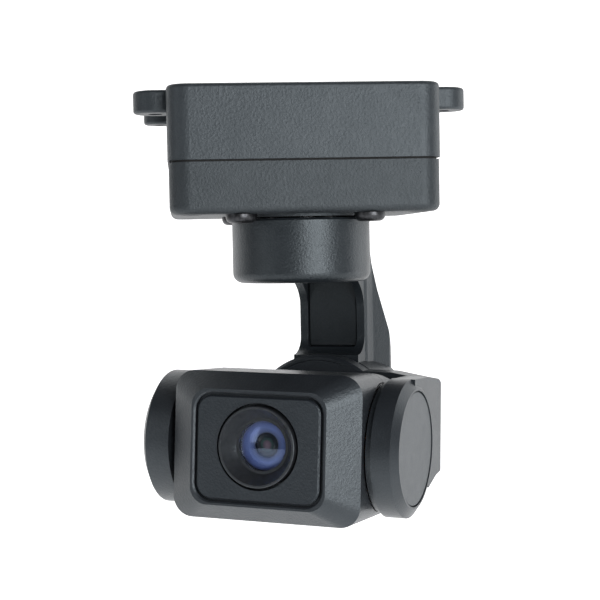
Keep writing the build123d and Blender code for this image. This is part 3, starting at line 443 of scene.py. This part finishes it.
def corner_spots(node, across, along, into, head_r):
    """The four places at a node's corners, on the plane of the screws' outer ends."""
    outer = reach(node, into)[0]
    left, right = reach(node, across)
    low, high = reach(node, along)
    return [
        across * a + along * b + into * outer
        for a in (left + head_r, right - head_r) for b in (low + head_r, high - head_r)
    ]


def screw_set(node, body, across, along, into, head, shank, socket, round_top=EDGE_ROUND):
    """Four screws that replace a node's. head and socket are (radius, height) in millimetres,
    shank is (radius, length), and round_top is the radius of the head's outer edge."""
    head_r, head_h = head
    shank_r, shank_l = shank
    socket_r, socket_h = socket
    tip = head_h + shank_l
    rings = [
        (0, socket_h * 1.25, True), (socket_r, socket_h, True), (socket_r, 0.06, True),
        (socket_r * 1.06, 0, True),
    ]
    steps = 8 if round_top > EDGE_ROUND else 2
    for step in range(steps + 1):
        turn = math.pi / 2 * step / steps
        inset = round_top * (1 - math.sin(turn))
        rings.append((head_r - inset, round_top * (1 - math.cos(turn)), False))
    rings += [
        (head_r, head_h, False), (shank_r, head_h, False), (shank_r, tip - 0.3, False),
        (shank_r * 0.6, tip, False), (0, tip, False),
    ]
    master = ringed(node + "_master", rings)
    stand = Matrix((across, into.cross(across), into)).transposed().to_euler()
    spots = points_mesh(node + "_spots", corner_spots(node, across, along, into, head_r * MM))
    piece = run_tree("steel_" + node, screw_tree, {
        "Screw": master, "Thread Radius": (shank_r - 0.04) * MM, "Thread Pitch": THREAD_PITCH * MM,
        "Thread Length": (shank_l - 0.7) * MM, "Thread Start": (head_h + 0.2) * MM,
        "Turn": tuple(stand), "Finish": screw_finish.material,
    }, spots)
    bpy.data.objects.remove(master)
    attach(piece, body)
    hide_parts(node)


RIGHT = Vector((1, 0, 0))
BACK = Vector((0, 1, 0))
screw_set("yaw_motor_screws", "base", RIGHT, BACK, UP, (2.85, 1.65), (1.2, 4.4), (1.0, 0.9), 1.2)
screw_set("base_shell_screws", "base", RIGHT, BACK, UP, (1.9, 1.0), (0.8, 16.0), (0.62, 0.6))
screw_set("base_board_screws", "base", RIGHT, BACK, UP, (1.5, 0.8), (0.8, 4.4), (0.5, 0.5))


# --- Motors -----------------------------------------------------------------------------
# Three flat brushless motors: laminated iron cores with enamelled copper wire, nickel
# plated magnets, ground steel shafts and shielded ball bearings.

pitch_joint, roll_joint, yaw_joint = (
    next(joint for joint in frame["joints"] if joint["name"] == name)
    for name in ("pitch", "roll", "yaw")
)
YAW_AXIS = Vector(yaw_joint["axis"]).normalized()
ROLL_AXIS = Vector(roll_joint["axis"]).normalized()
PITCH_AXIS = Vector(pitch_joint["axis"]).normalized()
LAMINATION = 0.35


def laminated(name, axis):
    """Stacked iron sheets, each with its dark insulated edge."""
    finish = Finish(name, 0.42, 0.9)
    sheet = finish.math("FRACT", finish.math("DIVIDE", finish.along(axis), LAMINATION))
    finish.set(Base_Color=finish.ramp(sheet, (
        (0.0, (0.05, 0.05, 0.055)), (0.14, (0.26, 0.26, 0.27)), (0.9, (0.32, 0.32, 0.33)))))
    finish.bump(sheet, 0.02)
    return finish


def ground_steel(name, axis, line=0.06, colour=(0.55, 0.56, 0.58)):
    """Steel with fine lines round its axis, as a grinding wheel or a lathe leaves them."""
    finish = Finish(name, 0.25, 1.0)
    stripes = finish.add("ShaderNodeTexNoise", noise_dimensions="1D")
    finish.feed(stripes.inputs["W"], finish.math("DIVIDE", finish.along(axis), line))
    stripes.inputs["Scale"].default_value = 1.0
    dull = tuple(0.8 * part for part in colour)
    finish.set(Base_Color=finish.ramp(stripes.outputs["Fac"], ((0.3, dull), (0.7, colour))))
    finish.set(Roughness=finish.spread(finish.grain(1.2, 3.0), 0.2, 0.34))
    finish.bump(stripes.outputs["Fac"], 0.004)
    return finish


copper_finish = mottled(
    "winding_enamel", 0.28, (0.50, 0.17, 0.05), (0.72, 0.30, 0.10), 1.4,
    metallic=0.85, relief=(0.3, 0.008),
)
magnet_finish = mottled(
    "magnet_nickel", 0.24, (0.42, 0.41, 0.38), (0.56, 0.55, 0.52), 1.8, 3.0,
    metallic=1.0, relief=(0.5, 0.004),
)
coat(
    magnet_finish, "yaw_magnets", "roll_magnets", "pitch_magnets",
    "yaw_encoder_magnet", "roll_encoder_magnet", "pitch_encoder_magnet",
)

TEETH = 12
WIRE_R = 0.2
TURN_SPACING = 2.1
HUB_R = 5.35
COIL_HALF_W = 1.28

coil_tree = tree_with("coil_ring", {
    "Turns": ("NodeSocketFloat", 9.0),
    "Wire Radius": ("NodeSocketFloat", 0.0002),
    "Start": ("NodeSocketFloat", 0.0055),
    "Length": ("NodeSocketFloat", 0.0037),
    "Half Width": ("NodeSocketFloat", 0.0011),
    "Half Height": ("NodeSocketFloat", 0.0031),
    "Step": ("NodeSocketFloat", 2 * math.pi / TEETH),
    "Finish": ("NodeSocketMaterial", None),
})
given = grow(coil_tree, "NodeGroupInput").outputs


def worked_out(operation, first, second):
    """Sum of that kind inside the coil tree."""
    return grow(coil_tree, "ShaderNodeMath", {0: first, 1: second}, operation=operation).outputs[0]


# A round unit helix is squared off into the turns of a coil, then laid along each tooth.
unit_coil = grow(coil_tree, "GeometryNodeCurveSpiral", {
    "Resolution": 16, "Rotations": given["Turns"], "Start Radius": 1.0, "End Radius": 1.0,
    "Height": given["Length"],
})
spot = grow(coil_tree, "GeometryNodeInputPosition")
part = grow(coil_tree, "ShaderNodeSeparateXYZ", {0: spot.outputs[0]}).outputs
fourth_x = worked_out("POWER", worked_out("ABSOLUTE", part["X"], 0.0), 4.0)
fourth_y = worked_out("POWER", worked_out("ABSOLUTE", part["Y"], 0.0), 4.0)
squareness = worked_out("POWER", worked_out("ADD", fourth_x, fourth_y), 0.25)
wide = worked_out("DIVIDE", part["X"], squareness)
high = worked_out("DIVIDE", part["Y"], squareness)
new_spot = grow(coil_tree, "ShaderNodeCombineXYZ", {
    "X": worked_out("ADD", part["Z"], given["Start"]),
    "Y": worked_out("MULTIPLY", wide, given["Half Width"]),
    "Z": worked_out("MULTIPLY", high, given["Half Height"]),
})
shaped = grow(coil_tree, "GeometryNodeSetPosition", {
    "Geometry": unit_coil.outputs[0], "Position": new_spot.outputs[0],
})
wire_ring = grow(coil_tree, "GeometryNodeCurvePrimitiveCircle", {
    "Resolution": 5, "Radius": given["Wire Radius"],
})
wire = grow(coil_tree, "GeometryNodeCurveToMesh", {
    "Curve": shaped.outputs[0], "Profile Curve": wire_ring.outputs["Curve"], "Fill Caps": True,
})
number = grow(coil_tree, "GeometryNodeInputIndex")
facing = grow(coil_tree, "ShaderNodeCombineXYZ", {
    "Z": worked_out("MULTIPLY", number.outputs[0], given["Step"]),
})
coils = grow(coil_tree, "GeometryNodeInstanceOnPoints", {
    "Points": given["Geometry"], "Instance": wire.outputs[0], "Rotation": facing.outputs[0],
})
finish_tree(coil_tree, coils.outputs[0], given["Finish"])


def wind(motor, body, axis, spoke, tip_r, half_height):
    """Wire coils round the twelve teeth of one motor, in place of its plain coils."""
    length = tip_r - HUB_R - 2 * WIRE_R
    turn = Matrix((spoke, axis.cross(spoke), axis)).transposed().to_4x4()
    place = Matrix.Translation(middle(motor + "_stator_core")) @ turn
    teeth = points_mesh(motor + "_teeth", [(0, 0, 0)] * TEETH)
    piece = run_tree(motor + "_wire_coils", coil_tree, {
        "Turns": length / (TURN_SPACING * WIRE_R), "Wire Radius": WIRE_R * MM,
        "Start": (HUB_R + WIRE_R) * MM, "Length": length * MM,
        "Half Width": (COIL_HALF_W - WIRE_R) * MM, "Half Height": (half_height - WIRE_R) * MM,
        "Step": 2 * math.pi / TEETH, "Finish": copper_finish.material,
    }, teeth, place)
    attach(piece, body)
    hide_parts(motor + "_stator_windings")


ARM_SIDE = ROLL_AXIS.cross(UP).normalized()
BRACKET_UP = PITCH_AXIS.cross(ROLL_AXIS).normalized()
wind("yaw", "base", YAW_AXIS, RIGHT, 9.4, 3.3)
wind("roll", "yaw_arm", ROLL_AXIS, ARM_SIDE, 9.4, 3.3)
wind("pitch", "roll_bracket", PITCH_AXIS, BRACKET_UP, 8.6, 2.2)
for motor, axis in (("yaw", YAW_AXIS), ("roll", ROLL_AXIS), ("pitch", PITCH_AXIS)):
    coat(laminated(motor + "_lamination", axis), motor + "_stator_core")
    coat(ground_steel(motor + "_ground_steel", axis), motor + "_shaft", motor + "_bearings")

coat(ground_steel("flange_turned", YAW_AXIS, 0.2, (0.035, 0.036, 0.038)), "yaw_stator_mount")
coat(ground_steel("rotor_ring_turned", ROLL_AXIS, 0.15), "roll_rotor_ring")
coat(ground_steel("rotor_cup_turned", PITCH_AXIS, 0.15), "pitch_rotor_cup")


# --- Arm --------------------------------------------------------------------------------
# One aluminium casting: the cup of the yaw motor, the arm behind it and the drum of the
# roll motor. Blasted more finely than the base, then anodised.

# The arm's anodising is darker than the other parts: painted shade, above all for the arm's front under
# the base and the yaw motor's cup.
arm_painted_shade_finish = anodised(
    "arm_anodised_painted_shade", (0.005, 0.007, 0.009), (0.014, 0.017, 0.020), 0.38, 0.18, 0.028, 11.0
)
coat(arm_painted_shade_finish, "yaw_arm")
# The cable cover is darker still: painted shade in the recess down the arm's front.
cover_painted_shade_finish = anodised(
    "cable_cover_moulded_painted_shade", (0.003, 0.004, 0.005), (0.008, 0.010, 0.012), 0.42, 0.2, 0.022, 12.0
)
coat(cover_painted_shade_finish, "arm_cable_cover")
cap_finish = anodised(
    "rear_cap_anodised", (0.012, 0.014, 0.017), (0.022, 0.025, 0.028), 0.44, 0.18, 0.02, 13.0
)
coat(cap_finish, "roll_rear_cap")
screw_set(
    "roll_rear_cap_screws", "yaw_arm", ARM_SIDE, UP, -ROLL_AXIS, (1.4, 0.6), (0.7, 2.5), (0.5, 0.35)
)
roll_centre = sum(reach("roll_encoder_board", ROLL_AXIS)) / 2
coat(board("roll_encoder_mask", roll_centre, ROLL_AXIS, 5.0), "roll_encoder_board")


# --- Ribbon cables ----------------------------------------------------------------------
# Amber polyimide film with copper tracks inside, folded from one motor to the next. The
# tracks are etched side by side along the film.

TRACK_PITCH = 0.5


def ribbon(name, across):
    """Film whose copper tracks lie side by side across it."""
    finish = Finish(name, 0.3)
    track = finish.math("FRACT", finish.math("DIVIDE", finish.along(across), TRACK_PITCH))
    finish.set(Base_Color=finish.ramp(track, (
        (0.0, (0.30, 0.11, 0.015)), (0.30, (0.34, 0.13, 0.02)), (0.40, (0.48, 0.20, 0.06)),
        (0.85, (0.50, 0.22, 0.07)))))
    finish.set(Coat_Weight=0.5, Coat_Roughness=0.1)
    finish.bump(track, 0.02)
    return finish


coat(ribbon("arm_ribbon_film", ARM_SIDE), "arm_ribbon_cable")
coat(ribbon("bracket_ribbon_film", BRACKET_UP), "bracket_ribbon_cable")


# --- Roll bracket -----------------------------------------------------------------------
# An angle machined from aluminium: a disc on the roll motor, a plate out to the right and
# a side arm forward to the round housing of the pitch motor. Anodised like the arm.

bracket_finish = anodised(
    "bracket_anodised", (0.010, 0.012, 0.015), (0.020, 0.023, 0.027), 0.36, 0.16, 0.016, 21.0
)
coat(bracket_finish, "roll_bracket", "roll_bracket_cover")
disc_finish = anodised(
    "end_disc_anodised", (0.024, 0.028, 0.032), (0.038, 0.043, 0.048), 0.44, 0.14, 0.016, 22.0
)
coat(disc_finish, "pitch_end_cap", "left_end_cap_disc")
pitch_centre = sum(reach("pitch_encoder_board", PITCH_AXIS)) / 2
coat(board("pitch_encoder_mask", pitch_centre, PITCH_AXIS, 6.0), "pitch_encoder_board")


# --- Camera body ------------------------------------------------------------------------
# Front and rear half shells of cast aluminium with a bevelled nose, and the round cap on
# the left that balances the pitch motor. Blasted and anodised.

body_finish = anodised(
    "camera_anodised", (0.010, 0.012, 0.015), (0.022, 0.025, 0.029), 0.37, 0.20, 0.026, 31.0
)
coat(body_finish, "camera_front_shell", "camera_rear_shell", "left_end_cap")
panel_finish = anodised(
    "panel_anodised", (0.006, 0.008, 0.011), (0.016, 0.019, 0.023), 0.40, 0.2, 0.040, 32.0
)
coat(panel_finish, "front_panel")
imu_centre = sum(reach("imu_board", PITCH_AXIS)) / 2
coat(board("imu_mask", imu_centre, PITCH_AXIS, 7.0), "imu_board")


# --- Lens -------------------------------------------------------------------------------
# A small screw-in lens: black hood, coated front glass, a stop ring and inner glasses in a
# threaded barrel, over the sensor board and its processor board.

FORWARD = (middle("lens_barrel") - middle("infrared_filter")).normalized()
HEAD_UP = PITCH_AXIS.cross(FORWARD).normalized() * -1
LENS_CENTRE = middle("lens_barrel")
screw_set(
    "camera_shell_screws", "camera_head", PITCH_AXIS, HEAD_UP, FORWARD, (1.45, 1.0), (0.8, 11.0),
    (0.55, 0.5),
)


def lens_place(depth):
    """Frame on the lens axis, depth metres along it, looking out of the camera."""
    centre = LENS_CENTRE + FORWARD * (depth - LENS_CENTRE @ FORWARD)
    turn = Matrix((PITCH_AXIS, FORWARD.cross(PITCH_AXIS), FORWARD)).transposed()
    return Matrix.Translation(centre) @ turn.to_4x4()


def turned(name, profile, place, finish, segments=96):
    """A piece of the head turned on a lathe. profile is a closed loop of (radius, height)."""
    mesh = bpy.data.meshes.new(name)
    form = bmesh.new()
    ring = [form.verts.new((radius * MM, 0, height * MM)) for radius, height in profile]
    edges = [form.edges.new((a, b)) for a, b in zip(ring, ring[1:] + ring[:1])]
    bmesh.ops.spin(
        form, geom=ring + edges, cent=(0, 0, 0), axis=(0, 0, 1),
        angle=2 * math.pi, steps=segments, use_merge=True,
    )
    bmesh.ops.remove_doubles(form, verts=form.verts, dist=0.002 * MM)
    bmesh.ops.dissolve_degenerate(form, edges=form.edges, dist=0.001 * MM)
    bmesh.ops.recalc_face_normals(form, faces=form.faces)
    for face in form.faces:
        face.smooth = True
    form.to_mesh(mesh)
    form.free()
    mesh.transform(place)
    mesh.set_sharp_from_angle(angle=math.radians(35))
    piece = bpy.data.objects.new(name, mesh)
    bpy.context.scene.collection.objects.link(piece)
    coat(finish, piece)
    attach(piece, "camera_head")
    return piece


hood_finish = mottled(
    "hood_anodised", 0.36, (0.010, 0.011, 0.013), (0.020, 0.021, 0.024), 0.8, 3.0,
    relief=(0.14, 0.006),
)
hood_finish.set(Specular_IOR_Level=0.6, Specular_Tint=COOL_SHEEN)
hood_finish.set(Roughness=hood_finish.spread(hood_finish.grain(0.5), 0.32, 0.44))
coat(hood_finish, "lens_hood")

BARREL_THREAD = 0.5
barrel_finish = Finish("barrel_anodised", 0.4)
threads = barrel_finish.math("DIVIDE", barrel_finish.along(FORWARD), BARREL_THREAD)
thread = barrel_finish.math("FRACT", threads)
barrel_finish.set(Base_Color=barrel_finish.ramp(thread, (
    (0.0, (0.006, 0.006, 0.007)), (0.5, (0.020, 0.020, 0.022)), (1.0, (0.006, 0.006, 0.007)))))
barrel_finish.bump(barrel_finish.math("PINGPONG", thread, 0.5), 0.12)
coat(barrel_finish, "lens_barrel")

glass_back, glass_front = reach("lens_front_element", FORWARD)
glass_left, glass_right = reach("lens_front_element", PITCH_AXIS)
glass_r = (glass_right - glass_left) / 2 / MM
rim_top = 1.6
dome_top = (glass_front - glass_back) / MM
front_glass_finish = Finish("front_glass", 0.02)
front_glass_finish.set(
    Base_Color=(0.92, 0.95, 1.0, 1.0), Transmission_Weight=1.0, IOR=1.5,
    Specular_IOR_Level=0.3, Specular_Tint=(0.45, 0.6, 1.0, 1.0),
)
front_glass_finish.set(Roughness=front_glass_finish.spread(front_glass_finish.grain(2.0), 0.0, 0.04))


def arc(radius, rim_height, top_height, steps=12):
    """Points of a shallow dome from its rim to the axis."""
    rise = top_height - rim_height
    curve = (radius * radius + rise * rise) / (2 * rise)
    points = []
    for step in range(steps + 1):
        r = radius * (1 - step / steps)
        points.append((r, top_height - curve + math.sqrt(curve * curve - r * r)))
    return points


outer_dome = arc(glass_r - 0.25, rim_top, dome_top)
inner_dome = arc(glass_r - 0.5, 0.02, 0.9)
glass_loop = outer_dome + inner_dome[::-1] + [(glass_r - 0.02, 0.02), (glass_r - 0.02, rim_top)]
seat = lens_place(glass_back)
front_glass = turned("lens_front_glass", glass_loop, seat, front_glass_finish)
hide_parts("lens_front_element")

# The coated ring behind the front glass carries a painted blue reflection: its colour runs by radius,
# palest blue part way out and dark at both edges.
coated_ring_painted_reflection = Finish("lens_coating_painted_reflection", 0.35)
spread_r = coated_ring_painted_reflection.from_axis(LENS_CENTRE, FORWARD)
coated_ring_painted_reflection.set(Base_Color=coated_ring_painted_reflection.ramp(coated_ring_painted_reflection.math("DIVIDE", spread_r, 5.0), (
    (0.40, (0.012, 0.018, 0.040)), (0.47, (0.060, 0.095, 0.25)), (0.60, (0.120, 0.185, 0.48)),
    (0.74, (0.100, 0.150, 0.40)), (0.86, (0.035, 0.052, 0.14)), (0.92, (0.006, 0.008, 0.018)))))
coated_ring_painted_reflection.set(Coat_Weight=0.2, Coat_Roughness=0.3)
ring_loop = [
    (4.4, 0.10), (3.4, 0.06), (2.6, -0.06), (2.1, -0.22), (2.1, -0.34), (3.3, -0.34), (3.3, -0.04),
    (4.4, 0.03),
]
coating_ring = turned("lens_coated_ring", ring_loop, seat, coated_ring_painted_reflection)
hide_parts("lens_iris")

# The second glass is dark, with a painted green reflection towards its rim and a painted rosy
# reflection in its middle.
inner_glass_painted_reflection = Finish("inner_glass", 0.25)
out = inner_glass_painted_reflection.from_axis(LENS_CENTRE, FORWARD)
inner_r = inner_glass_painted_reflection.math("DIVIDE", out, 2.2)
inner_glass_painted_reflection.set(Base_Color=inner_glass_painted_reflection.ramp(inner_r, (
    (0.0, (0.15, 0.10, 0.13)), (0.28, (0.09, 0.060, 0.080)), (0.42, (0.020, 0.050, 0.040)),
    (0.60, (0.008, 0.018, 0.018)), (0.9, (0.003, 0.004, 0.010)))))
inner_glass_painted_reflection.set(Coat_Weight=0.35, Coat_Roughness=0.04)
inner_loop = arc(3.1, -0.85, -0.40) + [(0.0, -1.10), (3.1, -1.10)]
inner_glass = turned("lens_second_glass", inner_loop, seat, inner_glass_painted_reflection)
coat(inner_glass_painted_reflection, "lens_inner_elements")

mount_finish = mottled(
    "lens_mount_moulded", 0.6, (0.012, 0.012, 0.013), (0.022, 0.022, 0.024), 1.0, relief=(0.2, 0.01)
)
coat(mount_finish, "lens_mount")

filter_finish = mottled("filter_glass", 0.03, (0.25, 0.55, 0.60), (0.55, 0.35, 0.50), 3.0)
filter_finish.set(Transmission_Weight=0.8, IOR=1.5)
coat(filter_finish, "infrared_filter")

sensor_finish = mottled("sensor_die", 0.12, (0.02, 0.03, 0.05), (0.05, 0.03, 0.05), 2.5)
sensor_finish.set(Coat_Weight=1.0)
coat(sensor_finish, "image_sensor")

sensor_centre = reach("sensor_board", FORWARD)[1] - BOARD_HALF * MM
processor_centre = reach("processor_board", FORWARD)[0] + (CHIP_HEIGHT + BOARD_HALF) * MM
coat(board("sensor_board_mask", sensor_centre, FORWARD, 8.0), "sensor_board")
coat(board("processor_board_mask", processor_centre, FORWARD, 9.0), "processor_board")

spreader_finish = mottled(
    "spreader_aluminium", 0.3, (0.60, 0.61, 0.62), (0.75, 0.76, 0.78), 0.6, 4.0,
    metallic=1.0, relief=(0.2, 0.01),
)
coat(spreader_finish, "heat_spreader")


# --- Studio -----------------------------------------------------------------------------
# A sweep of white paper well below and behind the part, four soft boxes and a dim, pale
# surround. The front box is the main light, and the others fill the sides and the top.

FLOOR_Z = -0.5
WALL_Y = 1.5
WALL_TOP = 2.2
SWEEP_R = 0.5
SWEEP_HALF = 3.0
SWEEP_STEPS = 16


def sweep():
    """Floor that curves up into a back wall."""
    mesh = bpy.data.meshes.new("floor_sweep")
    form = bmesh.new()
    line = [(-SWEEP_HALF, FLOOR_Z)]
    for step in range(SWEEP_STEPS + 1):
        turn = math.pi / 2 * step / SWEEP_STEPS
        y = WALL_Y - SWEEP_R + SWEEP_R * math.sin(turn)
        line.append((y, FLOOR_Z + SWEEP_R * (1 - math.cos(turn))))
    line.append((WALL_Y, WALL_TOP))
    rows = [[form.verts.new((x, y, z)) for y, z in line] for x in (-SWEEP_HALF, SWEEP_HALF)]
    for i in range(len(line) - 1):
        form.faces.new((rows[0][i], rows[1][i], rows[1][i + 1], rows[0][i + 1]))
    for face in form.faces:
        face.smooth = True
    form.to_mesh(mesh)
    form.free()
    piece = bpy.data.objects.new("floor_sweep", mesh)
    bpy.context.scene.collection.objects.link(piece)
    return piece


floor_finish = Finish("floor_paper", 0.9)
floor_finish.set(
    Base_Color=(0.9, 0.9, 0.9, 1.0), Emission_Color=(1, 1, 1, 1), Emission_Strength=0.85
)
floor = sweep()
coat(floor_finish, floor)


def soft_box(name, place, width, height, power):
    """Rectangular light at place, turned to the middle of the part."""
    data = bpy.data.lights.new(name, "AREA")
    data.shape = "RECTANGLE"
    data.size = width
    data.size_y = height
    data.energy = power
    lamp = bpy.data.objects.new(name, data)
    lamp.location = place
    lamp.rotation_euler = (AIM - Vector(place)).to_track_quat("-Z", "Y").to_euler()
    bpy.context.scene.collection.objects.link(lamp)


AIM = Vector((0, 0, -0.045))
soft_box("front_box", (0.24, -0.62, 0.02), 0.42, 0.42, 4.4)
soft_box("right_box", (0.45, 0.10, 0.00), 0.20, 0.40, 0.6)
soft_box("left_box", (-0.50, -0.22, 0.10), 0.16, 0.30, 0.3)
soft_box("top_box", (0.10, 0.25, 0.50), 0.50, 0.30, 0.8)

world = bpy.data.worlds.new("surround")
world.use_nodes = True
surround = world.node_tree.nodes["Background"].inputs
surround["Color"].default_value = (0.93, 0.95, 1.0, 1.0)
surround["Strength"].default_value = 0.10
bpy.context.scene.world = world
bpy.context.scene.view_settings.view_transform = "Standard"


# --- Camera -----------------------------------------------------------------------------
# Nearly level with the part, a little to the left of its front, on a short telephoto lens.
# It looks slightly down and is tilted by about one degree.

CAMERA_PLACE = (-0.02306, -0.28246, -0.02906)
FOCAL_LENGTH = 89.07
LOOK_RIGHT = 4.58
LOOK_DOWN = 2.19
TILT = 1.11

camera_data = bpy.data.cameras.new("camera")
camera_data.lens = FOCAL_LENGTH
camera_data.sensor_width = 36.0
camera_data.clip_start = 0.01
camera = bpy.data.objects.new("camera", camera_data)
camera_turn = (
    Matrix.Rotation(math.radians(-LOOK_RIGHT), 4, "Z")
    @ Matrix.Rotation(math.radians(-LOOK_DOWN), 4, "X")
    @ Matrix.Rotation(math.radians(TILT), 4, "Y")
    @ Matrix.Rotation(math.radians(90), 4, "X")
)
camera.matrix_world = Matrix.Translation(CAMERA_PLACE) @ camera_turn
bpy.context.scene.collection.objects.link(camera)
bpy.context.scene.camera = camera
